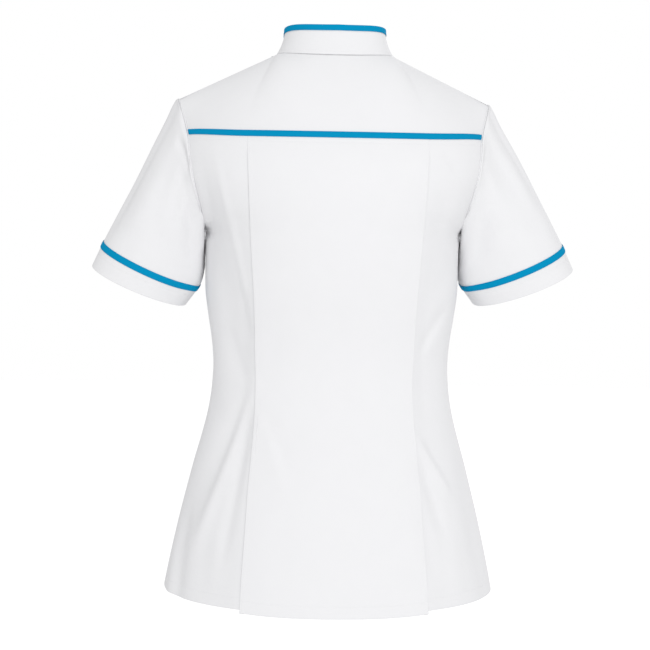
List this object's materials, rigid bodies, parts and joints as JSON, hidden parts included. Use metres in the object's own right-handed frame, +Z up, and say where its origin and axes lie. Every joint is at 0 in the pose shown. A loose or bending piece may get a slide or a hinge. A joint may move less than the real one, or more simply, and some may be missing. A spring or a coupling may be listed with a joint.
{
  "type": "medical tunic",
  "caption": "Women's short-sleeved medical tunic with stand collar, back yoke, panelled back and contrast piping, filled out as worn",
  "frame": {"origin": "the middle of the neck opening, at the height of the collar seam at the centre back", "axes": "+Z up toward the collar, +Y toward the back, -Y toward the front, +X toward the wearer's left"},
  "size_m": [0.6196, 0.2976, 0.739],
  "materials": {
    "white_cloth": "matt plain-weave uniform cloth, white",
    "blue_trim": "matt woven trim, bright blue"
  },
  "bodies": {
    "root": {"back_yoke": "white_cloth", "back_centre": "white_cloth", "back_side_left": "white_cloth", "back_side_right": "white_cloth", "front_left": "white_cloth", "front_right": "white_cloth", "front_placket": "white_cloth", "collar_stand": "white_cloth", "collar_binding": "blue_trim", "yoke_piping": "blue_trim", "sleeve_left": "white_cloth", "sleeve_right": "white_cloth", "sleeve_band_left": "white_cloth", "sleeve_band_right": "white_cloth", "sleeve_piping_left": "blue_trim", "sleeve_piping_right": "blue_trim"}
  },
  "joints": []
}
